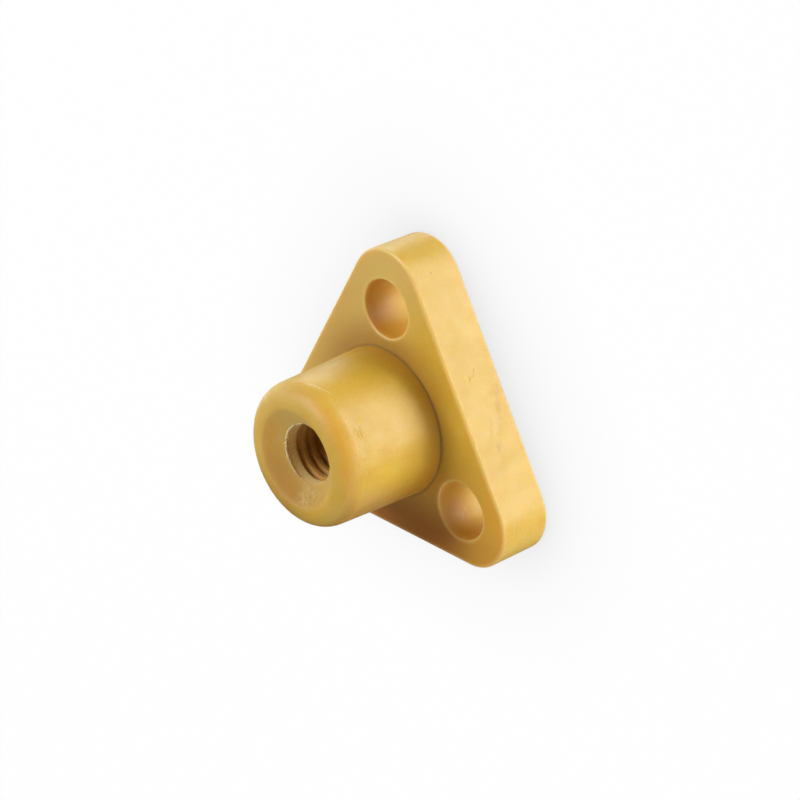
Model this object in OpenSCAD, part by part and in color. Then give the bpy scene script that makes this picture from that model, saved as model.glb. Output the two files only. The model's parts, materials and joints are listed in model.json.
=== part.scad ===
// Lead screw nut moulded in one piece: a thick three-cornered flange with a bolt hole in
// each corner, and a barrel that carries the threaded bore and ends in a rounded, dished nose.
// The origin is on the screw axis in the plane of the flange's back, and +Z runs out through
// the nose. The bore is drawn at the thread's minor diameter.

/* [Barrel] */
// Diameter of the barrel where its nose starts to round over
barrel_tip_d = 20.7; // [18:0.1:22]
// Diameter of the barrel where it meets the flange, larger by the moulding draft
barrel_base_d = 21.6; // [20:0.1:24]
// Length of the whole nut, from the flange's back to the top of the nose
nut_l = 24.9; // [20:0.1:40]
// Radius that rounds the nose into the barrel's side
nose_r = 2.85; // [1:0.05:3.5]

/* [Flange] */
// Thickness of the flange
flange_t = 8.2; // [4:0.1:12]
// Distance from the screw axis to the centre of each rounded corner
corner_reach = 18.85; // [17:0.05:26]
// Radius of the flange's rounded corners
corner_r = 6.6; // [5.5:0.1:9]
// Radius that rounds the flange's long edges
edge_r = 0.35; // [0.1:0.05:1]

/* [Bolt holes] */
// Diameter of the circle that the three bolt holes lie on
bolt_circle_d = 33.6; // [32:0.1:39]
// Diameter of each bolt hole
bolt_hole_d = 8.4; // [4:0.1:9]
// Width and depth of the small chamfer at both rims of each bolt hole
bolt_rim_chamfer = 0.3; // [0.1:0.05:0.8]

/* [Threaded bore] */
// Minor diameter of the screw thread, which is the diameter of the bore
thread_minor_d = 8; // [5:0.05:9]
// How much wider than the bore its mouth is, on each side, where it meets the nose's dish
mouth_flare = 0.375; // [0.1:0.025:1.5]
// Depth of the mouth below the top of the nose
mouth_depth = 2.25; // [1:0.05:3]
// Length over which the mouth narrows to the bore
lead_in_l = 1.55; // [0.5:0.05:4]
// Radius that turns the top of the nose into the dish
dish_lip_r = 1.1; // [0.3:0.05:2]
// Width and depth of the chamfer that opens the bore at the flange's back
back_chamfer = 0.9; // [0.2:0.05:1.5]

/* [Hidden] */
$fn = 96;
EDGE_FN = 16;  // facets of a full turn on the flange's small edge radius
CORNERS = [for (turn = [0:2]) 90 + 120 * turn];  // directions of the three corners
CLEAR = 1;  // how far a cutter runs past the surface that it opens
BITE = 0.005;  // how deep the dish's flank cuts into the lip's arc, so that they cross cleanly
minor_r = thread_minor_d / 2;
mouth_r = minor_r + mouth_flare;
mouth_z = nut_l - mouth_depth;
nose_top_r = barrel_tip_d / 2 - nose_r;

// One corner of the flange as a thick disc with both edges rounded
module corner_disc() {
    rotate_extrude() {
        square([corner_r - edge_r, flange_t]);
        translate([0, edge_r]) square([corner_r, flange_t - 2 * edge_r]);
        for (y = [edge_r, flange_t - edge_r])
            translate([corner_r - edge_r, y]) circle(edge_r, $fn = EDGE_FN);
    }
}

// The flange's solid plate, which wraps the three corners
module flange_plate() {
    hull()
        for (a = CORNERS) translate(corner_reach * [cos(a), sin(a)]) corner_disc();
}

// Outer half section of the barrel, from the flange's middle to the rounded nose
module barrel_section() {
    nose_z = nut_l - nose_r;
    polygon([
        [0, flange_t / 2],
        [barrel_base_d / 2, flange_t / 2],
        [barrel_base_d / 2, flange_t],
        [barrel_tip_d / 2, nose_z],
        [0, nose_z]
    ]);
    translate([0, nose_z]) square([nose_top_r, nose_r]);
    translate([nose_top_r, nose_z]) circle(nose_r);
}

// Half section of the dish in the nose: a flank that rises from the bore's mouth to the lip
module dish_section() {
    lip = [nose_top_r, nut_l - dish_lip_r];
    flank = lip - [mouth_r, mouth_z];
    reach = dish_lip_r - BITE;
    angle = atan2(flank[1], flank[0]) + asin(reach / norm(flank));
    difference() {
        polygon([
            [0, mouth_z],
            [mouth_r, mouth_z],
            lip + reach * [-sin(angle), cos(angle)],
            [nose_top_r, nut_l],
            [nose_top_r, nut_l + CLEAR],
            [0, nut_l + CLEAR]
        ]);
        translate(lip) circle(dish_lip_r);
    }
}

// Half section of the bore, with a chamfer at the back and a lead-in below the mouth
module bore_section() {
    polygon([
        [0, -CLEAR],
        [minor_r + back_chamfer + CLEAR, -CLEAR],
        [minor_r, back_chamfer],
        [minor_r, mouth_z - lead_in_l],
        [mouth_r, mouth_z],
        [0, mouth_z]
    ]);
}

// Half section of a bolt hole with a chamfer at each rim
module bolt_hole_section() {
    hole_r = bolt_hole_d / 2;
    flare_r = hole_r + bolt_rim_chamfer + CLEAR;
    polygon([
        [0, -CLEAR],
        [flare_r, -CLEAR],
        [hole_r, bolt_rim_chamfer],
        [hole_r, flange_t - bolt_rim_chamfer],
        [flare_r, flange_t + CLEAR],
        [0, flange_t + CLEAR]
    ]);
}

module nut_body() {
    color([0.83, 0.64, 0.27])
    difference() {
        union() {
            flange_plate();
            rotate_extrude() barrel_section();
        }
        rotate_extrude() {
            bore_section();
            dish_section();
        }
        for (a = CORNERS)
            translate(bolt_circle_d / 2 * [cos(a), sin(a)])
                rotate_extrude() bolt_hole_section();
    }
}

nut_body();
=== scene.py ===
"""A lead screw nut moulded in one piece from a mustard-coloured polymer: a thick three-cornered
flange, a drafted barrel with a dished nose, and a right-hand trapezoidal thread in its bore."""

import json
import math

import bmesh
import bpy
from mathutils import Matrix, Vector


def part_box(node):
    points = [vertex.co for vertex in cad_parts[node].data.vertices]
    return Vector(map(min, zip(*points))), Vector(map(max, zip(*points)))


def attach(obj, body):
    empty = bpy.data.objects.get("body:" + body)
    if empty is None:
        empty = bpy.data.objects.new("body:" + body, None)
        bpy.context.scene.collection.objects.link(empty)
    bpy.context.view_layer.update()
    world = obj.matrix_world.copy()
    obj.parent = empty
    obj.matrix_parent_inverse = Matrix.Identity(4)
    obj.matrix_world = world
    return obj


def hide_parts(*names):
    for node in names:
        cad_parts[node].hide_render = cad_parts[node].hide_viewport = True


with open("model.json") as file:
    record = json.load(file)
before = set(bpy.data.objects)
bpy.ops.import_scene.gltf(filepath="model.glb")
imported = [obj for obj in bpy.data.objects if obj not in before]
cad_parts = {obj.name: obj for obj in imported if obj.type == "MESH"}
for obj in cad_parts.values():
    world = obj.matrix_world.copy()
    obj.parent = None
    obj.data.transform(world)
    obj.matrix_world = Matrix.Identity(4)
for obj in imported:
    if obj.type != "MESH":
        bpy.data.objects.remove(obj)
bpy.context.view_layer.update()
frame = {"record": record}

# ---------------------------------------------------------------- sizes, in metres and degrees
MM = 0.001
MOUNTS = {mount["name"]: mount for mount in frame["record"]["mounts"]}
LOWEST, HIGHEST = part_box("nut_body")

NUT_L = HIGHEST.z
FLANGE_T = MOUNTS["flange_front"]["pos_m"][2]
CORNERS = (90, 210, 330)
CORNER_REACH = 2 * (HIGHEST.y + LOWEST.y)
CORNER_R = HIGHEST.y - CORNER_REACH
EDGE_R = 0.35 * MM

BOLT_CIRCLE_R = MOUNTS["bolts"]["dims"]["pcd_mm"] / 2 * MM
BOLT_HOLE_R = MOUNTS["bolts"]["dims"]["hole_r_mm"] * MM
BOLT_RIM_R = 0.3 * MM

BARREL_TIP_R = 10.35 * MM
BARREL_BASE_R = 10.8 * MM
BARREL_FOOT_R = 0.15 * MM       # radius where the barrel meets the flange
NOSE_R = 2.85 * MM
NOSE_TOP_R = BARREL_TIP_R - NOSE_R
DISH_LIP_R = 1.1 * MM

MINOR_R = MOUNTS["screw_thread"]["dims"]["r_mm"] * MM
MOUTH_FLARE = 0.375 * MM
MOUTH_R = MINOR_R + MOUTH_FLARE
MOUTH_DEPTH = 2.25 * MM
MOUTH_Z = NUT_L - MOUTH_DEPTH
LEAD_IN_L = 1.55 * MM
BACK_CHAMFER = 0.9 * MM

PITCH = 25.4 / 16 * MM          # sixteen turns to the inch
FLANK_ANGLE = 14.5
GROOVE_DEPTH = 0.89 * MM
GROOVE_FLANK = GROOVE_DEPTH * math.tan(math.radians(FLANK_ANGLE))
GROOVE_ROOT = 0.46 * MM
FIRST_GROOVE_Z = 20.6 * MM      # height of the first groove's middle, opposite +X
RUN_OUT_START = 0.25            # share of a pitch above that height where the groove fades
RUN_OUT_L = 0.75 * MM           # rise over which it fades out

COLUMNS = 144                   # facets round the screw axis
HOLE_COLUMNS = 72
HOLE_STEPS = 10
CORNER_STEPS = 36
EDGE_STEPS = 6
DISH_STEPS = 12
LIP_STEPS = 12
NOSE_STEPS = 24
BARREL_STEPS = 16
THREAD_ROWS = 24                # rows of faces in one pitch of the thread
FLAT_BORDER = 0.06 * MM         # narrow flat band beside an edge, which keeps the shading flat
HIGHLIGHT_BORDER = 0.35 * MM         # how far an edge's painted highlight reaches into the flat beside it
HIGHLIGHT_SIDE = 0.4                 # how much of the painted highlight shows where an edge's rounding ends
HIGHLIGHT_WALL = 0.1                 # and on the flange's wall beside it
WELD = 0.001 * MM

BURR_START = 105                # direction in which the burr on the mouth's rim begins
BURR_SWEEP = 150
BURR_THICKNESS = 0.20 * MM
BURR_SHIFT = (-0.3, 0.3)        # how far it strays outward and up, in its own thickness
BURR_LIFT = (-0.4, 0.5)
BURR_LUMP = 0.5 * MM            # size of its thicker and thinner stretches
BURR_LEAST = 0.2                # what is added to these, so that it never breaks
BURR_END = 0.25                 # the same for the fading of its two ends
BURR_STEPS = 160
BURR_SIDES = 6
BURR_FLAKES = 46
BURR_SEED = 7
FLAKE_L = 0.34 * MM
FLAKE_SIZES = (0.35, 1.0)
FLAKE_LEAN = 0.9                # how far the flakes lean to any side, in radians
FLAKE_SIDES = 5
FLAKE_TOP_R = 0.12              # both in the flake's own length
FLAKE_BASE_R = 0.3

AIM = Vector((-2.905, 0.257, 2.901)) * MM
CAMERA_AZIMUTH = 34.535
CAMERA_ELEVATION = 37.763
CAMERA_DISTANCE = 392.28 * MM
CAMERA_ROLL = -113.094
CAMERA_LENS = 127.025           # in millimetres, as is the sensor
CAMERA_SENSOR = 36.0
CAMERA_NEAR = 0.01
LAMP_DISTANCE = 0.7
LAMPS = (                       # name, azimuth, elevation, width, height and power
    ("key", 36, -35, 0.95, 0.40, 5.7),
    ("key_edge", 0, -5, 0.40, 0.40, 1.45),
    ("top", 125, 50, 0.40, 0.40, 3.55),
    ("side_fill", -45, 25, 0.40, 0.40, 1.3),
    ("low_fill", -60, -35, 0.40, 0.40, 0.4),
    ("back_low", 150, -35, 0.40, 0.40, 1.15),
    ("back", 180, -5, 0.40, 0.40, 1.0),
    ("front_fill", 240, 75, 0.40, 0.40, 0.3),
)
WHITE = (1.0, 1.0, 1.0, 1.0)
ROOM_LIGHT = 0.12
SHEEN_SHARE = 0.1               # how much of the white surround shows in the polymer's sheen
FLOOR_HALF = 3.0
FLOOR_PAINT = (0.8, 0.8, 0.8, 1.0)
FLOOR_GLOW = 0.985              # how much of the floor's white is its own
SHADOW_REACH = 22 * MM          # how far the nut's soft shadow spreads on the floor
SHADOW_DEPTH = 0.35
SHADOW_SAMPLES = 16

# ---------------------------------------------------------------- finish
POLYMER_LIGHT = (0.70, 0.445, 0.042, 1.0)
POLYMER_DEEP = (0.65, 0.395, 0.027, 1.0)
# the polymer's paler mottle, and also painted light and sheen
POLYMER_PALE = (0.76, 0.52, 0.15, 1.0)
# flow marks and scuffs, and painted shade on the flange, nose and dish
POLYMER_BROWN = (0.38, 0.17, 0.02, 1.0)
# painted shadow of the barrel on the flange's front
PAINTED_BARREL_SHADOW = (0.36, 0.085, 0.003, 1.0)
# painted warm light on the flange's front, and a painted glow on the nose
POLYMER_ORANGE = (0.86, 0.43, 0.022, 1.0)
# painted shade in the bolt holes and on the dish's left
RECESS_SHADE_ORANGE = (0.70, 0.32, 0.014, 1.0)
# painted shade on the barrel's root and underside
PAINTED_ROOT_SHADE = (0.50, 0.23, 0.01, 1.0)
# painted shade that browns the whole bore, then painted light that lightens its grooves
THREAD_BROWN = (0.44, 0.22, 0.045, 1.0)
GROOVE_PAINTED_LIGHT = (0.74, 0.42, 0.12, 1.0)
MOUTH_TAN = (0.76, 0.49, 0.15, 1.0)
WORN_PALE = (0.76, 0.54, 0.21, 1.0)
# the burr's pale white, and painted glints in a bolt hole
WORN_AND_GLINT_WHITE = (0.93, 0.78, 0.48, 1.0)
# painted highlight along the flange's rounded edges and the bolt holes' rims
EDGE_HIGHLIGHT = (0.90, 0.66, 0.24, 1.0)
# painted shade in the corner round the barrel's foot, and a dark speck's colour
FOOT_SHADE_AND_SPECK = (0.20, 0.08, 0.008, 1.0)

# Fine marks: where each starts and ends, the way that the surface faces, and its width, in
# millimetres
FLANGE_SIDE = (0.866, 0.5, 0.0)
BARREL_SIDE = (0.83, 0.56, 0.0)
HOLE_SIDE = (0.74, 0.68, 0.0)
FLOW_MARKS = (
    ((13.2, 9.2, 0.5), (16.5, 3.4, 2.7), FLANGE_SIDE, 0.6),
    ((16.3, 3.8, 2.4), (18.4, 0.25, 4.6), FLANGE_SIDE, 0.7),
    ((15.6, 5.0, 3.6), (17.6, 1.6, 5.2), FLANGE_SIDE, 0.45),
)
DARK_SCRATCHES = (
    ((12.2, 10.9, 3.6), (12.9, 9.7, 4.3), FLANGE_SIDE, 0.14),
    ((12.5, 10.4, 4.8), (13.2, 9.2, 5.1), FLANGE_SIDE, 0.12),
    ((12.6, 10.2, 3.7), (12.9, 9.6, 5.2), FLANGE_SIDE, 0.12),
    ((7.9, 6.7, 21.6), (9.2, 4.8, 21.2), BARREL_SIDE, 0.12),
    ((8.3, 6.3, 21.0), (9.4, 4.5, 20.7), BARREL_SIDE, 0.12),
    ((8.0, 6.6, 20.8), (8.8, 5.6, 20.5), BARREL_SIDE, 0.10),
)
# Bright scratches, cut in by a bump; those in the bolt hole are also painted glints of its highlight
BRIGHT_SCRATCHES_AND_GLINTS = (
    ((-0.9, 10.28, 22.44), (3.65, 9.71, 21.2), (0.14, 0.99, 0.0), 0.12),
    ((11.2, -10.9, 4.6), (11.9, -11.7, 4.9), HOLE_SIDE, 0.14),
    ((10.9, -10.5, 4.1), (11.6, -11.3, 4.0), HOLE_SIDE, 0.12),
    ((11.5, -11.4, 5.2), (12.2, -11.9, 5.3), HOLE_SIDE, 0.10),
)
CHALK_PATCH = ((1.5, -5.5, 24.2), 3.2)      # centre and reach
DARK_SPECK = ((5.29, 22.8, 4.84), 0.22)

# Strength of each tint, from 0 to 1
MOTTLE_TINT = 0.22
PALE_FRONT_TINT = 0.72
ORANGE_BAND_TINT = 0.5
DISH_PALE_TINT = 0.6
DISH_LEFT_TINT = 0.55
DISH_LOW_TINT = 0.4
DISH_RIGHT_TINT = 0.3
CREST_TINT = 0.8
GROOVE_TINT = 0.9
EDGE_HIGHLIGHT_TINT = 0.55
FOOT_SHADE_TINT = 0.45
FLOW_TINT = 0.3
SCUFF_TINT = 0.32
BRIGHT_TINT = 0.62
CHALK_TINT = 0.6
SPECK_TINT = 0.45

# Where the moulding's parts begin and end: a ramp from one place to another, and its values
# there if these aren't 0 and 1
FRONT_RAMP = (0.05 * MM, 0.35 * MM, 1.0, 0.0)
LOW_RAMP = (-14 * MM, -6 * MM, 1.0, 0.0)
HIGH_RAMP = (-9 * MM, 0.0)
NOSE_RAMP = (NUT_L - NOSE_R, NUT_L - 0.5 * NOSE_R)
BORE_RAMP = (MOUTH_R, MOUTH_R + 0.7 * MM, 1.0, 0.0)
BELOW_MOUTH_RAMP = (MOUTH_Z - 0.1 * MM, MOUTH_Z, 1.0, 0.0)
ABOVE_MOUTH_RAMP = (MOUTH_Z - 0.1 * MM, MOUTH_Z)
LEAD_IN_RAMP = (MOUTH_Z - LEAD_IN_L, MOUTH_Z - 0.8 * LEAD_IN_L)
GROOVE_RAMP = (MINOR_R + 0.1 * MM, MINOR_R + 0.6 * GROOVE_DEPTH)
DISH_RAMP = (NOSE_TOP_R - 1.3 * MM, NOSE_TOP_R, 1.0, 0.0)
BARREL_RAMP = (BARREL_TIP_R - 1.0 * MM, BARREL_TIP_R - 0.2 * MM)
ABOVE_FLANGE_RAMP = (FLANGE_T, FLANGE_T + 0.4 * MM)
FOOT_RAMP = (0.05 * MM, 0.45 * MM, 1.0, 0.0)

# Where the tints begin and end in the same way, and their directions in degrees from +X
# Most of these place painted light and shade on the moulding
PALE_FRONT_WAY = 140
PALE_FRONT_RAMP = (1 * MM, 14 * MM)
PALE_NOSE_RAMP = (-5 * MM, 5 * MM, 0.4, 0.12)
PALE_CORNER_LOW = (-7 * MM, 0.0, 0.35, 0.0)
PALE_CORNER_RIGHT = (2 * MM, 8 * MM)
INNER_FRONT_REACH = (BARREL_BASE_R, BARREL_BASE_R + 6 * MM, 0.55, 0.0)
INNER_FRONT_RISE = (-8 * MM, 9 * MM, 0.2, 1.2)
WARM_FRONT_LOW = (-9 * MM, 3 * MM, 0.6, 0.0)
WARM_FRONT_RIGHT = (3 * MM, 13 * MM)
SHADE_REACH = (17 * MM, 24 * MM, 0.78, 0.6)
SHADE_RIGHT = (11 * MM, 19 * MM, 1.0, 0.5)
ROOT_HEIGHT = (FLANGE_T, FLANGE_T + 4.2 * MM, 0.7, 0.0)
ROOT_REACH = (BARREL_BASE_R, BARREL_BASE_R + 0.2 * MM, 1.0, 0.0)
BARREL_LOW = (-6.5 * MM, -1 * MM, 0.7, 0.0)
NOSE_LOW = (-9 * MM, 0.0, 0.55, 0.0)
NOSE_LEFT = (-3 * MM, 6 * MM, 1.0, 0.15)
ORANGE_BAND_R = NOSE_TOP_R + 0.72 * NOSE_R
ORANGE_BAND_REACH = (0.0, 1.4 * MM, 1.0, 0.0)
ORANGE_BAND_RIGHT = (-3 * MM, 5 * MM)
ORANGE_BAND_HIGH = (-6 * MM, 1 * MM)
HOLE_HEIGHT = (1.5 * MM, 5.5 * MM, 0.05, 0.7)
HOLE_MOTTLE = (0.7, 1.1)
DISH_LEFT_WAY = 205
DISH_LEFT_RAMP = (0.0, 6 * MM)
DISH_LEFT_REACH = (MOUTH_R, MOUTH_R + 1.6 * MM, 0.3, 1.0)
DISH_LEFT_MOTTLE = (0.75, 1.25)
DISH_LOW_WAY = 248
DISH_RIGHT_WAY = -40
DISH_SIDE_RAMP = (1 * MM, 6 * MM)
MOUTH_LOW = (-3 * MM, 0.5 * MM, 0.9, 0.0)

# Grain, bumps and gloss
NOISE_MIDDLE = (0.35, 0.65)     # the range that most of a noise lies in
CLOUD_SIZE = 7 * MM
MOTTLE_SIZE = 1.3 * MM
GRAIN_SIZE = 0.34 * MM
SPECKLE_SIZE = 0.3 * MM
SPECKLE_LEAST = 0.5
WAVE_SIZE = 1.1 * MM
WAVE_HEIGHT = 0.06 * MM
WAVE_STRENGTH = 0.12
GRAIN_HEIGHT = 0.04 * MM
GRAIN_STRENGTH = 0.4
CUT_DEPTH = 0.04 * MM
CUT_STRENGTH = 0.4
SHEEN_PATCH_SIZE = 2.2 * MM
ROUGH_LEAST = 0.38
ROUGH_MOST = 0.5
DULL_ROUGHNESS = 0.4            # how much rougher the dullest parts are
DISH_DULLNESS = 0.6
SOFT_SHEEN_ROUGHNESS = 0.1      # how much rougher the nose and the bolt holes are
POLYMER_SPECULAR = 0.73
POLYMER_SUBSURFACE = 0.6
POLYMER_SCATTER = (1.0, 0.42, 0.1)
POLYMER_SCATTER_REACH = 2.0 * MM
FRAY_CLOUD_SIZE = 0.4 * MM
FRAY_PATCH_SIZE = 0.2 * MM
FRAY_GRAIN_SIZE = 0.1 * MM
FRAY_GRAIN_HEIGHT = 0.03 * MM
FRAY_GRAIN_STRENGTH = 0.5
FRAY_ROUGH_LEAST = 0.55
FRAY_ROUGH_MOST = 0.8

# How the fine marks wander, fade out and break up
MARK_CORE = 0.3                 # share of a mark's width, or of a patch's reach, in full strength
MARK_FULL_LENGTH = 0.6          # the same share of its length
MARK_DEPTH = (1.0 * MM, 2.0 * MM, 1.0, 0.0)
WOBBLE = 0.3 * MM
WOBBLE_SIZE = 1.8 * MM
FINE_WOBBLE = 0.05 * MM
FINE_WOBBLE_SIZE = 0.5 * MM
SCUFF_GRAIN_SIZE = 0.4 * MM
SCUFF_LEAST = 0.3
BRIGHT_GRAIN_SIZE = 0.3 * MM
BRIGHT_LEAST = 0.2
CHALK_GRAIN_SIZE = 0.6 * MM


# ---------------------------------------------------------------- small helpers
def polar(radius, angle):
    """The flat point at that distance and angle in degrees from the origin."""
    turn = math.radians(angle)
    return Vector((radius * math.cos(turn), radius * math.sin(turn)))


def arc(centre, radius, start, end, steps):
    """Points of a section's arc, both ends included."""
    return [Vector(centre) + polar(radius, start + (end - start) * step / steps)
            for step in range(steps + 1)]


def line(start, end, steps):
    """Points of a section's straight stretch, without its ends."""
    return [Vector(start).lerp(Vector(end), step / steps) for step in range(1, steps)]


def add_node(tree, kind, inputs=None, **settings):
    """Adds a node, sets its properties and fills or links its inputs, by name or number."""
    node = tree.nodes.new(kind)
    for name, value in settings.items():
        setattr(node, name, value)
    for key, value in (inputs or {}).items():
        if isinstance(value, bpy.types.NodeSocket):
            tree.links.new(value, node.inputs[key])
        else:
            node.inputs[key].default_value = value
    return node


def math_node(tree, operation, *values, clamp=False):
    """The result of a Math node on numbers or sockets."""
    node = add_node(tree, "ShaderNodeMath", dict(enumerate(values)),
                    operation=operation, use_clamp=clamp)
    return node.outputs[0]


def map_range(tree, value, low, high, to_low=0.0, to_high=1.0, smooth=True):
    """A clamped Map Range from low..high to to_low..to_high."""
    node = add_node(
        tree, "ShaderNodeMapRange",
        {0: value, 1: low, 2: high, 3: to_low, 4: to_high},
        interpolation_type="SMOOTHSTEP" if smooth else "LINEAR")
    return node.outputs[0]


def product(tree, *values):
    """All the numbers multiplied together."""
    result = values[0]
    for value in values[1:]:
        result = math_node(tree, "MULTIPLY", result, value)
    return result


def strongest(tree, *values):
    """The largest of the numbers."""
    result = values[0]
    for value in values[1:]:
        result = math_node(tree, "MAXIMUM", result, value)
    return result


def new_object(name, data):
    """A new object in the scene that shows that mesh, lamp or camera."""
    obj = bpy.data.objects.new(name, data)
    bpy.context.scene.collection.objects.link(obj)
    return obj


# ---------------------------------------------------------------- Geometry Nodes: thread and burr
def new_geometry_tree(name, sizes):
    """A geometry tree with one named number input for each of the sizes and a material."""
    tree = bpy.data.node_groups.new(name, "GeometryNodeTree")
    tree.is_modifier = True
    tree.interface.new_socket("Geometry", in_out="INPUT", socket_type="NodeSocketGeometry")
    for size, value in sizes.items():
        kind = "NodeSocketInt" if isinstance(value, int) else "NodeSocketFloat"
        socket = tree.interface.new_socket(size, in_out="INPUT", socket_type=kind)
        socket.default_value = value
    tree.interface.new_socket("Material", in_out="INPUT", socket_type="NodeSocketMaterial")
    tree.interface.new_socket("Geometry", in_out="OUTPUT", socket_type="NodeSocketGeometry")
    return tree, tree.nodes.new("NodeGroupInput").outputs


def end_tree(tree, geometry, material):
    """Ends a geometry tree in Realize Instances and Set Material."""
    real = add_node(tree, "GeometryNodeRealizeInstances", {"Geometry": geometry})
    shown = add_node(tree, "GeometryNodeSetMaterial",
                     {"Geometry": real.outputs[0], "Material": material})
    add_node(tree, "NodeGroupOutput", {0: shown.outputs[0]})


def grown_mesh(tree, sizes, material):
    """The plain mesh that a geometry tree grows from its inputs."""
    seed = new_object("seed", bpy.data.meshes.new("seed"))
    modifier = seed.modifiers.new("grow", "NODES")
    modifier.node_group = tree
    for item in tree.interface.items_tree:
        if item.in_out == "INPUT" and item.name in sizes:
            modifier[item.identifier] = sizes[item.name]
        elif item.in_out == "INPUT" and item.name == "Material":
            modifier[item.identifier] = material
    view = bpy.context.evaluated_depsgraph_get()
    mesh = bpy.data.meshes.new_from_object(seed.evaluated_get(view))
    seed.modifiers.remove(modifier)
    bpy.data.objects.remove(seed)
    return mesh


def thread_mesh(material):
    """The bore's wall: a grid wound into a helix and pushed out into the groove, the mouth's
    flare and the back chamfer, with both of its ends trimmed flat."""
    sizes = {
        "Columns": COLUMNS,
        "Rows per Turn": THREAD_ROWS,
        "Turns": math.ceil(MOUTH_Z / PITCH) + 2,
        "Pitch": PITCH,
        "First Groove Height": FIRST_GROOVE_Z,
        "Run-out": RUN_OUT_L,
        "Minor Radius": MINOR_R,
        "Groove Depth": GROOVE_DEPTH,
        "Groove Root": GROOVE_ROOT,
        "Groove Flank": GROOVE_FLANK,
        "Mouth Height": MOUTH_Z,
        "Mouth Flare": MOUTH_FLARE,
        "Lead-in Length": LEAD_IN_L,
        "Back Chamfer": BACK_CHAMFER,
    }
    tree, size = new_geometry_tree("screw_thread", sizes)

    def calc(operation, *values):
        return math_node(tree, operation, *values)

    rows = calc("MULTIPLY", size["Turns"], size["Rows per Turn"])
    grid = add_node(tree, "GeometryNodeMeshGrid", {
        "Size X": 1.0, "Size Y": 1.0,
        "Vertices X": calc("ADD", size["Columns"], 1.0),
        "Vertices Y": calc("ADD", rows, 1.0)})
    place = add_node(tree, "ShaderNodeSeparateXYZ",
                     {0: tree.nodes.new("GeometryNodeInputPosition").outputs[0]})
    turn = calc("ADD", place.outputs["X"], 0.5)
    row = calc("MULTIPLY", calc("ADD", place.outputs["Y"], 0.5), size["Turns"])

    # Half a turn from +X the middle of each groove lies a whole number of pitches below the first
    first = calc("DIVIDE", size["First Groove Height"], size["Pitch"])
    shift = calc("SUBTRACT", calc("FRACT", first), 1.0)
    height = calc("MULTIPLY", size["Pitch"],
                  calc("ADD", calc("SUBTRACT", calc("ADD", row, turn), 1.0), shift))
    middle = calc("ADD", calc("FLOOR", row), 0.5)
    middle_z = calc("MULTIPLY", size["Pitch"],
                    calc("ADD", calc("SUBTRACT", calc("ADD", middle, turn), 1.0), shift))
    off_middle = calc("MULTIPLY", size["Pitch"],
                      calc("ABSOLUTE", calc("SUBTRACT", row, middle)))

    half_root = calc("MULTIPLY", size["Groove Root"], 0.5)
    groove = map_range(tree, off_middle, half_root,
                       calc("ADD", half_root, size["Groove Flank"]), 1.0, 0.0)
    fade_z = calc("ADD", size["First Groove Height"], calc("MULTIPLY", size["Pitch"], RUN_OUT_START))
    fade = map_range(tree, middle_z, fade_z, calc("ADD", fade_z, size["Run-out"]), 1.0, 0.0)
    cut = calc("MULTIPLY", size["Groove Depth"], calc("MULTIPLY", groove, fade))

    trimmed_z = calc("MINIMUM", calc("MAXIMUM", height, 0.0), size["Mouth Height"])
    lead_in_z = calc("SUBTRACT", size["Mouth Height"], size["Lead-in Length"])
    flare = map_range(tree, trimmed_z, lead_in_z, size["Mouth Height"],
                      0.0, size["Mouth Flare"], smooth=False)
    chamfer = calc("SUBTRACT", size["Back Chamfer"], trimmed_z)
    radius = calc("ADD", size["Minor Radius"],
                  calc("MAXIMUM", cut, calc("MAXIMUM", flare, chamfer)))

    angle = calc("MULTIPLY", turn, math.tau)
    wound = add_node(tree, "ShaderNodeCombineXYZ", {
        0: calc("MULTIPLY", radius, calc("COSINE", angle)),
        1: calc("MULTIPLY", radius, calc("SINE", angle)),
        2: trimmed_z})
    helix = add_node(tree, "GeometryNodeSetPosition",
                     {"Geometry": grid.outputs["Mesh"], "Position": wound.outputs[0]})
    closed = add_node(tree, "GeometryNodeMergeByDistance",
                      {"Geometry": helix.outputs[0], "Distance": WELD})
    end_tree(tree, closed.outputs[0], size["Material"])
    return grown_mesh(tree, sizes, material)


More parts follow.
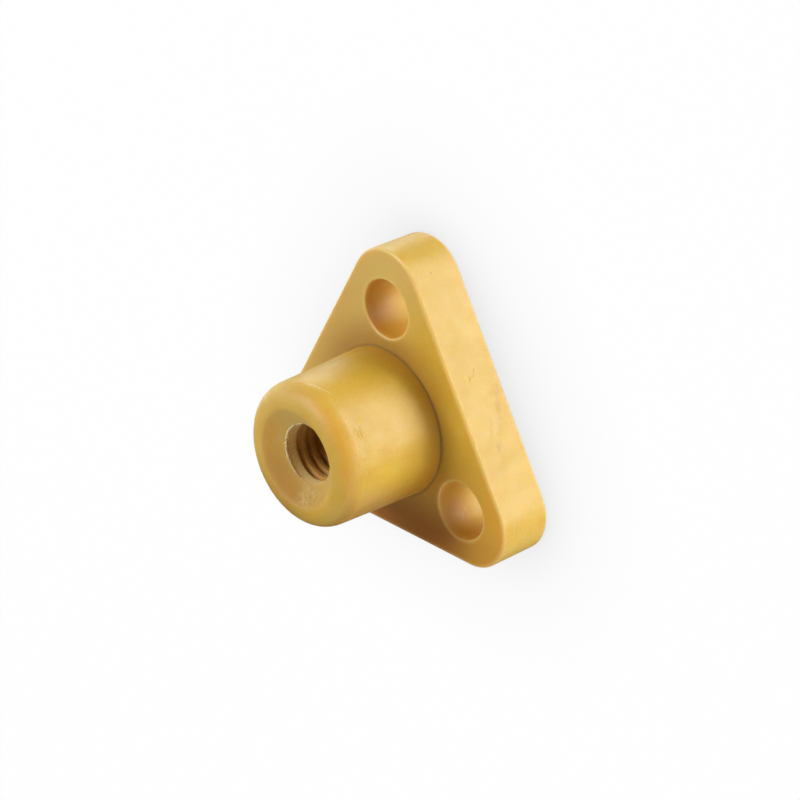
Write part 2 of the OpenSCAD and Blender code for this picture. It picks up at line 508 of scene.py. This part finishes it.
def burr_mesh(material):
    """The frayed burr on one side of the mouth's rim: an uneven thin thread of polymer with
    small flakes standing on it."""
    sizes = {
        "Rim Radius": MOUTH_R,
        "Rim Height": MOUTH_Z,
        "Start": math.radians(BURR_START),
        "Sweep": math.radians(BURR_SWEEP),
        "Thickness": BURR_THICKNESS,
        "Steps": BURR_STEPS,
        "Flakes": BURR_FLAKES,
        "Flake Length": FLAKE_L,
        "Seed": BURR_SEED,
    }
    tree, size = new_geometry_tree("mouth_burr", sizes)

    def calc(operation, *values):
        return math_node(tree, operation, *values)

    def spread(low, high, offset, kind="FLOAT"):
        node = add_node(tree, "FunctionNodeRandomValue", data_type=kind)
        first = 0 if kind == "FLOAT_VECTOR" else 2
        node.inputs[first].default_value = low
        node.inputs[first + 1].default_value = high
        tree.links.new(calc("ADD", size["Seed"], offset), node.inputs["Seed"])
        return node.outputs[0 if kind == "FLOAT_VECTOR" else 1]

    # The thread, thinner at its two ends, along a wandering line
    share = calc("DIVIDE", tree.nodes.new("GeometryNodeInputIndex").outputs[0], size["Steps"])
    turn = calc("ADD", size["Start"], calc("MULTIPLY", share, size["Sweep"]))
    uneven = add_node(tree, "ShaderNodeTexNoise",
                      {"Scale": 1 / BURR_LUMP, "Detail": 3.0}).outputs[0]
    line_points = add_node(tree, "GeometryNodeMeshLine", {"Count": size["Steps"]})
    radius = calc("ADD", size["Rim Radius"],
                  calc("MULTIPLY", size["Thickness"], spread(*BURR_SHIFT, 0)))
    rim = add_node(tree, "ShaderNodeCombineXYZ", {
        0: calc("MULTIPLY", radius, calc("COSINE", turn)),
        1: calc("MULTIPLY", radius, calc("SINE", turn)),
        2: calc("ADD", size["Rim Height"],
                calc("MULTIPLY", size["Thickness"], spread(*BURR_LIFT, 1)))})
    bent = add_node(tree, "GeometryNodeSetPosition",
                    {"Geometry": line_points.outputs[0], "Position": rim.outputs[0]})
    curve = add_node(tree, "GeometryNodeMeshToCurve", {0: bent.outputs[0]})
    fade = calc("SINE", calc("MULTIPLY", share, math.pi))
    bulk = calc("MULTIPLY", size["Thickness"],
                calc("MULTIPLY", calc("ADD", uneven, BURR_LEAST), calc("ADD", fade, BURR_END)))
    profile = add_node(tree, "GeometryNodeCurvePrimitiveCircle",
                       {"Resolution": BURR_SIDES, "Radius": 1.0})
    thread = add_node(tree, "GeometryNodeCurveToMesh", {
        "Curve": curve.outputs[0], "Profile Curve": profile.outputs["Curve"], "Scale": bulk,
        "Fill Caps": True})

    # The flakes that stand on it
    flake = add_node(tree, "GeometryNodeMeshCone", {
        "Vertices": FLAKE_SIDES, "Radius Top": FLAKE_TOP_R, "Radius Bottom": FLAKE_BASE_R,
        "Depth": 1.0})
    spots = add_node(tree, "GeometryNodeCurveToPoints",
                     {"Curve": curve.outputs[0], "Count": size["Flakes"]}, mode="COUNT")
    leaning = spread((-FLAKE_LEAN, -FLAKE_LEAN, 0.0), (FLAKE_LEAN, FLAKE_LEAN, math.tau), 2,
                     "FLOAT_VECTOR")
    flakes = add_node(tree, "GeometryNodeInstanceOnPoints", {
        "Points": spots.outputs["Points"], "Instance": flake.outputs["Mesh"],
        "Rotation": leaning,
        "Scale": calc("MULTIPLY", size["Flake Length"], spread(*FLAKE_SIZES, 3))})
    both = tree.nodes.new("GeometryNodeJoinGeometry")
    tree.links.new(flakes.outputs[0], both.inputs[0])
    tree.links.new(thread.outputs[0], both.inputs[0])
    end_tree(tree, both.outputs[0], size["Material"])
    return grown_mesh(tree, sizes, material)


# ---------------------------------------------------------------- the moulded body
def round_loop(bm, radius, z, centre=(0, 0), columns=COLUMNS):
    """A closed ring of new vertices."""
    points = [Vector(centre) + polar(radius, 360 * step / columns) for step in range(columns)]
    return [bm.verts.new((*point, z)) for point in points]


def outline_loop(bm, inset, z):
    """The flange's rounded outline at that height, moved inwards by inset."""
    half_sweep = 180 / len(CORNERS)
    points = []
    for corner in CORNERS:
        points += arc(polar(CORNER_REACH, corner), CORNER_R - inset,
                      corner - half_sweep, corner + half_sweep, CORNER_STEPS)
    return [bm.verts.new((*point, z)) for point in points]


def bridge(bm, loops):
    """Skins neighbouring loops of as many vertices each."""
    for one, other in zip(loops, loops[1:]):
        for step, vertex in enumerate(one):
            after = (step + 1) % len(one)
            bm.faces.new((vertex, one[after], other[after], other[step]))


def fill_flat(bm, loops):
    """Fills the flat region between an outer loop and the loops inside it."""
    edges = [bm.edges.get((loop[step - 1], vertex))
             for loop in loops for step, vertex in enumerate(loop)]
    bmesh.ops.triangle_fill(bm, use_beauty=True, edges=edges)


def mark_loop(loop, layer, amount):
    """Says how much a loop is part of an edge or a bolt hole, from 0 to 1."""
    for vertex in loop:
        vertex[layer] = amount


def turned_section(bm, section, layer, centre=(0, 0), columns=COLUMNS):
    """Revolves a section of (radius, height, edge) points and returns its loops."""
    loops = []
    for radius, z, edge in section:
        loop = round_loop(bm, radius, z, centre, columns)
        mark_loop(loop, layer, edge)
        loops.append(loop)
    bridge(bm, loops)
    return loops


def barrel_section():
    """The barrel's outside, from the bore's mouth over the nose to the flange's front."""
    lip = Vector((NOSE_TOP_R, NUT_L - DISH_LIP_R))
    mouth = Vector((MOUTH_R, MOUTH_Z))
    flank = lip - mouth
    slope = math.degrees(math.atan2(flank.y, flank.x) + math.asin(DISH_LIP_R / flank.length))
    lip_arc = arc(lip, DISH_LIP_R, 90 + slope, 90, LIP_STEPS)
    nose_arc = arc((NOSE_TOP_R, NUT_L - NOSE_R), NOSE_R, 90, 0, NOSE_STEPS)[1:]
    foot = Vector((BARREL_BASE_R + BARREL_FOOT_R, FLANGE_T + BARREL_FOOT_R))
    foot_arc = arc(foot, BARREL_FOOT_R, 180, 270, EDGE_STEPS)
    border = Vector((foot.x + FLAT_BORDER, FLANGE_T))
    section = [mouth, *line(mouth, lip_arc[0], DISH_STEPS), *lip_arc, *nose_arc,
               *line(nose_arc[-1], foot_arc[0], BARREL_STEPS), *foot_arc, border]
    return [(point.x, point.y, 0.0) for point in section]


def edge_highlight():
    """How much of the painted highlight shows at each step of a rounded edge: most in its middle."""
    return [HIGHLIGHT_SIDE + (1 - HIGHLIGHT_SIDE) * math.sin(math.pi * step / EDGE_STEPS)
            for step in range(EDGE_STEPS + 1)]


def rim_section():
    """A bolt hole's wall with both rims rounded, from the flange's front to its back."""
    reach = BOLT_HOLE_R + BOLT_RIM_R
    front = arc((reach, FLANGE_T - BOLT_RIM_R), BOLT_RIM_R, 90, 180, EDGE_STEPS)
    back = arc((reach, BOLT_RIM_R), BOLT_RIM_R, 180, 270, EDGE_STEPS)
    highlight = edge_highlight()
    section = [(reach + HIGHLIGHT_BORDER, FLANGE_T, 0.0), (reach + FLAT_BORDER, FLANGE_T, HIGHLIGHT_SIDE)]
    section += [(*point, edge) for point, edge in zip(front, highlight)]
    section += [(*point, 0.0) for point in line(front[-1], back[0], HOLE_STEPS)]
    section += [(*point, edge) for point, edge in zip(back, highlight)]
    return section + [(reach + FLAT_BORDER, 0.0, HIGHLIGHT_SIDE), (reach + HIGHLIGHT_BORDER, 0.0, 0.0)]


def flange_edge_loops(bm, layer):
    """The flange's outside, from the border of its front face to that of its back face."""
    loops = [outline_loop(bm, EDGE_R + HIGHLIGHT_BORDER, FLANGE_T)]
    front = arc((EDGE_R, FLANGE_T - EDGE_R), EDGE_R, 90, 180, EDGE_STEPS)
    back = arc((EDGE_R, EDGE_R), EDGE_R, 180, 270, EDGE_STEPS)
    wall = [front[-1] + Vector((0, -FLAT_BORDER)), back[0] + Vector((0, FLAT_BORDER))]
    front.insert(0, Vector((EDGE_R + FLAT_BORDER, FLANGE_T)))
    back.append(Vector((EDGE_R + FLAT_BORDER, 0.0)))
    highlight = edge_highlight()
    amounts = [HIGHLIGHT_SIDE, *highlight, HIGHLIGHT_WALL, HIGHLIGHT_WALL, *highlight, HIGHLIGHT_SIDE]
    for (inset, z), edge in zip(front + wall + back, amounts):
        loop = outline_loop(bm, inset, z)
        mark_loop(loop, layer, edge)
        loops.append(loop)
    loops.append(outline_loop(bm, EDGE_R + HIGHLIGHT_BORDER, 0.0))
    bridge(bm, loops)
    return loops


def nut_piece(material):
    """The whole moulding as one closed skin."""
    bm = bmesh.new()
    # The edge layer says where the painted edge highlight goes
    edge = bm.verts.layers.float.new("edge")
    hole_wall = bm.verts.layers.float.new("hole")
    barrel = turned_section(bm, barrel_section(), edge)
    flange = flange_edge_loops(bm, edge)
    holes = [turned_section(bm, rim_section(), edge, polar(BOLT_CIRCLE_R, corner), HOLE_COLUMNS)
             for corner in CORNERS]
    rim_middle = 2 + EDGE_STEPS // 2
    for loops in holes:
        for loop in loops[rim_middle:-rim_middle]:
            mark_loop(loop, hole_wall, 1.0)
    back_mouth = round_loop(bm, MINOR_R + BACK_CHAMFER, 0.0)
    back_border = round_loop(bm, MINOR_R + BACK_CHAMFER + FLAT_BORDER, 0.0)
    bridge(bm, [back_mouth, back_border])
    fill_flat(bm, [flange[0], barrel[-1], *[hole[0] for hole in holes]])
    fill_flat(bm, [flange[-1], back_border, *[hole[-1] for hole in holes]])
    bm.from_mesh(thread_mesh(material))
    bmesh.ops.remove_doubles(bm, verts=bm.verts, dist=WELD)
    bmesh.ops.recalc_face_normals(bm, faces=bm.faces)
    for face in bm.faces:
        face.smooth = True
    mesh = bpy.data.meshes.new("nut")
    bm.to_mesh(mesh)
    bm.free()
    mesh.materials.append(material)
    return new_object("nut", mesh)


# ---------------------------------------------------------------- materials
def colour_mix(tree, factor, under, over):
    """The colour under, with the colour over laid on it by the factor."""
    node = add_node(tree, "ShaderNodeMix", {0: factor, 6: under, 7: over}, data_type="RGBA")
    return node.outputs[2]


def noise(tree, spot, size, detail=2.0, distortion=0.0, low=0.0, high=1.0):
    """Noise with grains of about that size, whose middle range is spread over low..high."""
    node = add_node(tree, "ShaderNodeTexNoise", {
        "Vector": spot, "Scale": 1 / size, "Detail": detail, "Distortion": distortion})
    return map_range(tree, node.outputs[0], *NOISE_MIDDLE, low, high, smooth=False)


def away(tree, value, middle):
    """How far a number is from the middle, to either side."""
    return math_node(tree, "ABSOLUTE", math_node(tree, "SUBTRACT", value, middle))


def along_axis(tree, spot, direction):
    """How far a spot lies in a direction."""
    node = add_node(tree, "ShaderNodeVectorMath", {0: spot, 1: tuple(direction)},
                    operation="DOT_PRODUCT")
    return node.outputs["Value"]


def toward(tree, spot, way):
    """How far a spot lies from the screw axis in a direction in degrees from +X."""
    return along_axis(tree, spot, (*polar(1, way), 0))


def flat_length(tree, one, other):
    """The length of a flat vector with those two parts."""
    flat = add_node(tree, "ShaderNodeCombineXYZ", {0: one, 1: other, 2: 0.0})
    node = add_node(tree, "ShaderNodeVectorMath", {0: flat.outputs[0]}, operation="LENGTH")
    return node.outputs["Value"]


def bump(tree, relief, strength, height, under=None, **settings):
    """The normal of a surface with that relief, which may lie on an earlier bump."""
    inputs = {"Strength": strength, "Distance": height, "Height": relief}
    if under:
        inputs["Normal"] = under
    return add_node(tree, "ShaderNodeBump", inputs, **settings).outputs[0]


def patch(tree, spot, centre, reach):
    """1 at the centre of a round patch, fading to 0 at its reach, both in millimetres."""
    reach = reach * MM
    gap = add_node(tree, "ShaderNodeVectorMath", {0: spot, 1: tuple(Vector(centre) * MM)},
                   operation="DISTANCE")
    return map_range(tree, gap.outputs["Value"], MARK_CORE * reach, reach, 1.0, 0.0)


def streak(tree, spot, wobble, start, end, outward, width):
    """1 along a fine mark between two points of a surface that faces outward, else 0."""
    start = Vector(start) * MM
    end = Vector(end) * MM
    width = width * MM
    middle = (start + end) / 2
    half = (end - start).length / 2
    run = (end - start).normalized()
    side = run.cross(Vector(outward)).normalized()
    depth = run.cross(side)
    across = math_node(tree, "ADD", along_axis(tree, spot, side), wobble)
    line_mask = map_range(tree, away(tree, across, side.dot(middle)),
                          MARK_CORE * width, width, 1.0, 0.0)
    length_mask = map_range(tree, away(tree, along_axis(tree, spot, run), run.dot(middle)),
                            MARK_FULL_LENGTH * half, half, 1.0, 0.0)
    depth_mask = map_range(tree, away(tree, along_axis(tree, spot, depth), depth.dot(middle)),
                           *MARK_DEPTH)
    return product(tree, line_mask, length_mask, depth_mask)


def streaks(tree, spot, wobble, marks):
    """1 along any of several fine marks."""
    return strongest(tree, *[streak(tree, spot, wobble, *mark) for mark in marks])


def moulding_zones(tree, spot):
    """The place of a spot on the moulding, and from 0 to 1 how much it is in each part."""
    x, y, z = add_node(tree, "ShaderNodeSeparateXYZ", {0: spot}).outputs
    radius = flat_length(tree, x, y)
    edge = add_node(tree, "ShaderNodeAttribute", attribute_name="edge").outputs["Fac"]
    hole = add_node(tree, "ShaderNodeAttribute", attribute_name="hole").outputs["Fac"]
    front = map_range(tree, away(tree, z, FLANGE_T), *FRONT_RAMP)
    bore = product(tree, map_range(tree, radius, *BORE_RAMP),
                   map_range(tree, z, *BELOW_MOUTH_RAMP))
    foot_gap = flat_length(tree, math_node(tree, "SUBTRACT", radius, BARREL_BASE_R),
                           math_node(tree, "SUBTRACT", z, FLANGE_T))
    return {
        "x": x, "y": y, "z": z, "radius": radius, "edge": edge, "hole": hole, "front": front,
        "low front": product(tree, front, map_range(tree, y, *LOW_RAMP)),
        "high": map_range(tree, y, *HIGH_RAMP),
        "nose": map_range(tree, z, *NOSE_RAMP),
        "bore": bore,
        "mouth": product(tree, bore, map_range(tree, z, *LEAD_IN_RAMP)),
        "groove": product(tree, bore, map_range(tree, radius, *GROOVE_RAMP)),
        "dish": product(tree, map_range(tree, radius, *DISH_RAMP),
                        map_range(tree, z, *ABOVE_MOUTH_RAMP)),
        "barrel": product(tree, map_range(tree, radius, *BARREL_RAMP),
                          map_range(tree, z, *ABOVE_FLANGE_RAMP)),
        "foot": map_range(tree, foot_gap, *FOOT_RAMP),
    }


def painted_light_and_sheen(tree, spot, zone):
    """Painted sheen on the paler upper left of the flange's front, and painted light on the nose's
    paler top and lower right.
    """
    front = product(tree, zone["front"], map_range(tree, toward(tree, spot, PALE_FRONT_WAY),
                                                   *PALE_FRONT_RAMP), PALE_FRONT_TINT)
    top = product(tree, zone["nose"], zone["high"], map_range(tree, zone["x"], *PALE_NOSE_RAMP))
    corner = product(tree, zone["nose"], map_range(tree, zone["y"], *PALE_CORNER_LOW),
                     map_range(tree, zone["x"], *PALE_CORNER_RIGHT))
    return strongest(tree, front, top, corner), POLYMER_PALE


def flange_painted_shading(tree, zone):
    """Painted shade on the flange's front, browner beside the barrel and as the barrel's shadow
    below it, with painted warm light to its lower right.
    """
    inner = product(tree, zone["front"], map_range(tree, zone["radius"], *INNER_FRONT_REACH),
                    map_range(tree, zone["y"], *INNER_FRONT_RISE))
    warm = product(tree, zone["front"], map_range(tree, zone["x"], *WARM_FRONT_RIGHT),
                   map_range(tree, zone["y"], *WARM_FRONT_LOW))
    shade = product(tree, zone["low front"], map_range(tree, zone["radius"], *SHADE_REACH),
                    map_range(tree, zone["x"], *SHADE_RIGHT))
    return [(inner, POLYMER_BROWN), (warm, POLYMER_ORANGE), (shade, PAINTED_BARREL_SHADOW)]


def barrel_painted_shading(tree, zone):
    """Painted shade on the barrel's browner root and underside."""
    root = product(tree, map_range(tree, zone["z"], *ROOT_HEIGHT),
                   map_range(tree, zone["radius"], *ROOT_REACH))
    underside = product(tree, zone["barrel"], map_range(tree, zone["y"], *BARREL_LOW))
    return [(root, PAINTED_ROOT_SHADE), (underside, PAINTED_ROOT_SHADE)]


def nose_painted_shading(tree, zone):
    """Painted shade on the nose's browner lower left, and a painted glow in the orange band round
    its upper right.
    """
    low = product(tree, zone["nose"], map_range(tree, zone["y"], *NOSE_LOW),
                  map_range(tree, zone["x"], *NOSE_LEFT))
    band = product(tree, map_range(tree, away(tree, zone["radius"], ORANGE_BAND_R),
                                   *ORANGE_BAND_REACH), zone["nose"],
                   map_range(tree, zone["x"], *ORANGE_BAND_RIGHT),
                   map_range(tree, zone["y"], *ORANGE_BAND_HIGH), ORANGE_BAND_TINT)
    return [(low, POLYMER_BROWN), (band, POLYMER_ORANGE)]


def hole_painted_shading(tree, zone, mottle):
    """Painted shade in the bolt holes: a mottled deeper orange on their walls, stronger towards the
    flange's front.
    """
    factor = product(tree, zone["hole"], map_range(tree, zone["z"], *HOLE_HEIGHT),
                     map_range(tree, mottle, 0.0, 1.0, *HOLE_MOTTLE))
    return factor, RECESS_SHADE_ORANGE


def dish_painted_shading(tree, spot, zone, mottle):
    """Painted light on the dish's paler top and painted shade on its browner left; it is also
    browner towards its lower left and right.
    """
    dish = zone["dish"]
    high = product(tree, dish, zone["high"], DISH_PALE_TINT)
    left = product(tree, dish, map_range(tree, toward(tree, spot, DISH_LEFT_WAY), *DISH_LEFT_RAMP),
                   map_range(tree, zone["radius"], *DISH_LEFT_REACH),
                   map_range(tree, mottle, 0.0, 1.0, *DISH_LEFT_MOTTLE), DISH_LEFT_TINT)
    low = product(tree, dish, map_range(tree, toward(tree, spot, DISH_LOW_WAY), *DISH_SIDE_RAMP),
                  DISH_LOW_TINT)
    right = product(tree, dish, map_range(tree, toward(tree, spot, DISH_RIGHT_WAY),
                                          *DISH_SIDE_RAMP), DISH_RIGHT_TINT)
    return [(high, POLYMER_PALE), (left, RECESS_SHADE_ORANGE), (low, POLYMER_BROWN),
            (right, POLYMER_BROWN)]


def bore_tints(tree, spot, zone):
    """The bore browned as painted shade with its grooves lightened as painted light, and its
    speckled mouth, paler towards its lower side.
    """
    speckle = noise(tree, spot, SPECKLE_SIZE, detail=3.0, low=SPECKLE_LEAST)
    mouth = product(tree, zone["mouth"], speckle)
    paler_low = product(tree, mouth, map_range(tree, zone["y"], *MOUTH_LOW))
    return [(product(tree, zone["bore"], CREST_TINT), THREAD_BROWN),
            (product(tree, zone["groove"], GROOVE_TINT), GROOVE_PAINTED_LIGHT),
            (mouth, MOUTH_TAN), (paler_low, WORN_PALE)]


def fine_marks(tree, spot, zone):
    """How much of each fine mark a spot shows: flow marks and dark scuffs on the flange's side
    and the barrel, bright scratches with painted glints, the chalky patch in the dish, a dark speck."""
    wobble = noise(tree, spot, WOBBLE_SIZE, low=-WOBBLE, high=WOBBLE)
    fine_wobble = noise(tree, spot, FINE_WOBBLE_SIZE, low=-FINE_WOBBLE, high=FINE_WOBBLE)
    flow = streaks(tree, spot, wobble, FLOW_MARKS)
    scuffs = product(tree, streaks(tree, spot, fine_wobble, DARK_SCRATCHES),
                     noise(tree, spot, SCUFF_GRAIN_SIZE, detail=1.0, low=SCUFF_LEAST))
    bright = product(tree, streaks(tree, spot, fine_wobble, BRIGHT_SCRATCHES_AND_GLINTS),
                     noise(tree, spot, BRIGHT_GRAIN_SIZE, detail=1.0, low=BRIGHT_LEAST))
    chalk = product(tree, zone["dish"], patch(tree, spot, *CHALK_PATCH),
                    noise(tree, spot, CHALK_GRAIN_SIZE, detail=4.0, distortion=1.0))
    return flow, scuffs, bright, chalk, patch(tree, spot, *DARK_SPECK)


def polymer_roughness(tree, spot, zone, scuffs, chalk):
    """Dull where it is scuffed, threaded or chalky, a little uneven everywhere."""
    dull = strongest(tree, zone["bore"], chalk, scuffs,
                     product(tree, zone["dish"], DISH_DULLNESS), zone["foot"], zone["low front"])
    uneven = noise(tree, spot, SHEEN_PATCH_SIZE, detail=4.0, distortion=0.4,
                   low=ROUGH_LEAST, high=ROUGH_MOST)
    soft = product(tree, strongest(tree, zone["nose"], zone["hole"]), SOFT_SHEEN_ROUGHNESS)
    roughness = math_node(tree, "ADD", uneven, product(tree, dull, DULL_ROUGHNESS), clamp=True)
    return math_node(tree, "ADD", roughness, soft, clamp=True)


def new_polymer(name):
    """A new material, its tree, its shader and the spot on the object that it colours."""
    material = bpy.data.materials.new(name)
    material.use_nodes = True
    tree = material.node_tree
    spot = tree.nodes.new("ShaderNodeTexCoord").outputs["Object"]
    return material, tree, tree.nodes["Principled BSDF"], spot


def moulded_polymer():
    """Mustard-coloured moulded polymer that lets a little light in, with its flow marks, scuffs and
    a fine grain, and with painted light and shade: its paler and darker parts and edge highlights."""
    material, tree, shader, spot = new_polymer("mustard_polymer")
    zone = moulding_zones(tree, spot)
    clouds = noise(tree, spot, CLOUD_SIZE, detail=3.0, distortion=0.8)
    mottle = noise(tree, spot, MOTTLE_SIZE, detail=3.0, distortion=0.3)
    grain = noise(tree, spot, GRAIN_SIZE)
    flow, scuffs, bright, chalk, speck = fine_marks(tree, spot, zone)

    # Each tint is laid on those before it; most of them are painted light and shade
    colour = colour_mix(tree, clouds, POLYMER_DEEP, POLYMER_LIGHT)
    for factor, tint in (
            (product(tree, mottle, grain, MOTTLE_TINT), POLYMER_PALE),
            painted_light_and_sheen(tree, spot, zone),
            *flange_painted_shading(tree, zone),
            *barrel_painted_shading(tree, zone),
            *nose_painted_shading(tree, zone),
            hole_painted_shading(tree, zone, mottle),
            *dish_painted_shading(tree, spot, zone, mottle),
            *bore_tints(tree, spot, zone),
            # painted highlight along the rounded edges and rims
            (product(tree, zone["edge"], EDGE_HIGHLIGHT_TINT), EDGE_HIGHLIGHT),
            # painted shade in the corner round the barrel's foot
            (product(tree, zone["foot"], FOOT_SHADE_TINT), FOOT_SHADE_AND_SPECK),
            (product(tree, flow, mottle, FLOW_TINT), POLYMER_BROWN),
            (product(tree, scuffs, SCUFF_TINT), POLYMER_BROWN),
            # bright scratches, and painted glints in the bolt hole
            (product(tree, bright, BRIGHT_TINT), WORN_AND_GLINT_WHITE),
            (product(tree, chalk, CHALK_TINT), WORN_PALE),
            (product(tree, speck, SPECK_TINT), FOOT_SHADE_AND_SPECK)):
        colour = colour_mix(tree, factor, colour, tint)

    waves = bump(tree, noise(tree, spot, WAVE_SIZE), WAVE_STRENGTH, WAVE_HEIGHT)
    skin = bump(tree, grain, GRAIN_STRENGTH, GRAIN_HEIGHT, waves)
    cuts = bump(tree, math_node(tree, "ADD", scuffs, bright), CUT_STRENGTH, CUT_DEPTH, skin,
                invert=True)
    tree.links.new(colour, shader.inputs["Base Color"])
    tree.links.new(polymer_roughness(tree, spot, zone, scuffs, chalk), shader.inputs["Roughness"])
    tree.links.new(cuts, shader.inputs["Normal"])
    shader.inputs["Specular IOR Level"].default_value = POLYMER_SPECULAR
    shader.inputs["Subsurface Weight"].default_value = POLYMER_SUBSURFACE
    shader.inputs["Subsurface Radius"].default_value = POLYMER_SCATTER
    shader.inputs["Subsurface Scale"].default_value = POLYMER_SCATTER_REACH
    return material


def frayed_polymer():
    """The same polymer torn thin and dry, so it is pale, dull and uneven."""
    material, tree, shader, spot = new_polymer("frayed_polymer")
    dry = noise(tree, spot, FRAY_CLOUD_SIZE, detail=3.0)
    roughness = noise(tree, spot, FRAY_PATCH_SIZE, low=FRAY_ROUGH_LEAST, high=FRAY_ROUGH_MOST)
    grain = bump(tree, noise(tree, spot, FRAY_GRAIN_SIZE), FRAY_GRAIN_STRENGTH, FRAY_GRAIN_HEIGHT)
    tree.links.new(colour_mix(tree, dry, WORN_PALE, WORN_AND_GLINT_WHITE), shader.inputs["Base Color"])
    tree.links.new(roughness, shader.inputs["Roughness"])
    tree.links.new(grain, shader.inputs["Normal"])
    return material


# ---------------------------------------------------------------- stage, light and camera
def shown_white(tree):
    """1 for what the camera sees itself or through glass, and a share of it in a sheen, since
    a whole white surround would veil the polymer's deep colour."""
    path = tree.nodes.new("ShaderNodeLightPath").outputs
    sheen = math_node(tree, "MULTIPLY", path["Is Glossy Ray"], SHEEN_SHARE)
    return strongest(tree, path["Is Camera Ray"], path["Is Transmission Ray"], sheen)


def plain_floor():
    """A pale floor that the camera sees as white, softly darker close round the nut. It lets
    light through from below, as a light table does, so the low softboxes reach the nut."""
    material = bpy.data.materials.new("pale_floor")
    material.use_nodes = True
    tree = material.node_tree
    tree.nodes.clear()
    paint = add_node(tree, "ShaderNodeBsdfDiffuse", {"Color": FLOOR_PAINT})
    openness = add_node(tree, "ShaderNodeAmbientOcclusion", {"Distance": SHADOW_REACH},
                        samples=SHADOW_SAMPLES)
    shaded = map_range(tree, openness.outputs["AO"], 0.0, 1.0, 1.0 - SHADOW_DEPTH, 1.0,
                       smooth=False)
    glow = add_node(tree, "ShaderNodeEmission", {"Color": WHITE, "Strength": shaded})
    mixed = add_node(tree, "ShaderNodeMixShader", {
        0: math_node(tree, "MULTIPLY", shown_white(tree), FLOOR_GLOW),
        1: paint.outputs[0], 2: glow.outputs[0]})
    add_node(tree, "ShaderNodeOutputMaterial", {"Surface": mixed.outputs[0]})
    mesh = bpy.data.meshes.new("floor")
    mesh.from_pydata([(-FLOOR_HALF, -FLOOR_HALF, 0), (FLOOR_HALF, -FLOOR_HALF, 0),
                      (FLOOR_HALF, FLOOR_HALF, 0), (-FLOOR_HALF, FLOOR_HALF, 0)],
                     [], [(0, 1, 2, 3)])
    mesh.materials.append(material)
    floor = new_object("floor", mesh)
    floor.visible_shadow = False
    floor.visible_diffuse = False
    floor.visible_glossy = False


def pale_world():
    """Even light from all round, which the camera sees as white."""
    world = bpy.data.worlds.new("pale_room")
    bpy.context.scene.world = world
    world.use_nodes = True
    tree = world.node_tree
    tree.nodes.clear()
    room = add_node(tree, "ShaderNodeBackground", {"Color": WHITE, "Strength": ROOM_LIGHT})
    seen = add_node(tree, "ShaderNodeBackground", {"Color": WHITE, "Strength": 1.0})
    mixed = add_node(tree, "ShaderNodeMixShader", {
        0: shown_white(tree), 1: room.outputs[0], 2: seen.outputs[0]})
    add_node(tree, "ShaderNodeOutputWorld", {"Surface": mixed.outputs[0]})


def around(azimuth, elevation):
    """The unit direction at that azimuth from +X and that height above the floor."""
    flat = polar(math.cos(math.radians(elevation)), azimuth)
    return Vector((*flat, math.sin(math.radians(elevation))))


def softbox(name, azimuth, elevation, width, height, power):
    """A soft rectangular lamp that faces the nut and isn't seen itself."""
    lamp = bpy.data.lights.new(name, "AREA")
    lamp.shape = "RECTANGLE"
    lamp.size = width
    lamp.size_y = height
    lamp.energy = power
    obj = new_object(name, lamp)
    obj.location = AIM + LAMP_DISTANCE * around(azimuth, elevation)
    obj.rotation_euler = around(azimuth, elevation).to_track_quat("Z", "Y").to_euler()
    obj.visible_camera = False


def studio_lamps():
    """A broad key from low on the nut's right, a top light across its front, and weak fills."""
    for lamp in LAMPS:
        softbox(*lamp)


def camera():
    """A long-lens view from above the nose's right, rolled as the nut was turned."""
    eye = bpy.data.cameras.new("camera")
    eye.lens = CAMERA_LENS
    eye.sensor_width = CAMERA_SENSOR
    eye.clip_start = CAMERA_NEAR
    obj = new_object("camera", eye)
    direction = around(CAMERA_AZIMUTH, CAMERA_ELEVATION)
    level = direction.to_track_quat("Z", "Y").to_matrix()
    roll = Matrix.Rotation(math.radians(CAMERA_ROLL), 3, "Z")
    place = Matrix.Translation(AIM + CAMERA_DISTANCE * direction)
    obj.matrix_world = place @ (level @ roll).to_4x4()
    bpy.context.scene.camera = obj


polymer = moulded_polymer()
nut = nut_piece(polymer)
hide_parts("nut_body")
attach(nut, "root")
burr = new_object("mouth_burr", burr_mesh(frayed_polymer()))
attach(burr, "root")
plain_floor()
pale_world()
studio_lamps()
camera()
bpy.context.scene.view_settings.view_transform = "Standard"
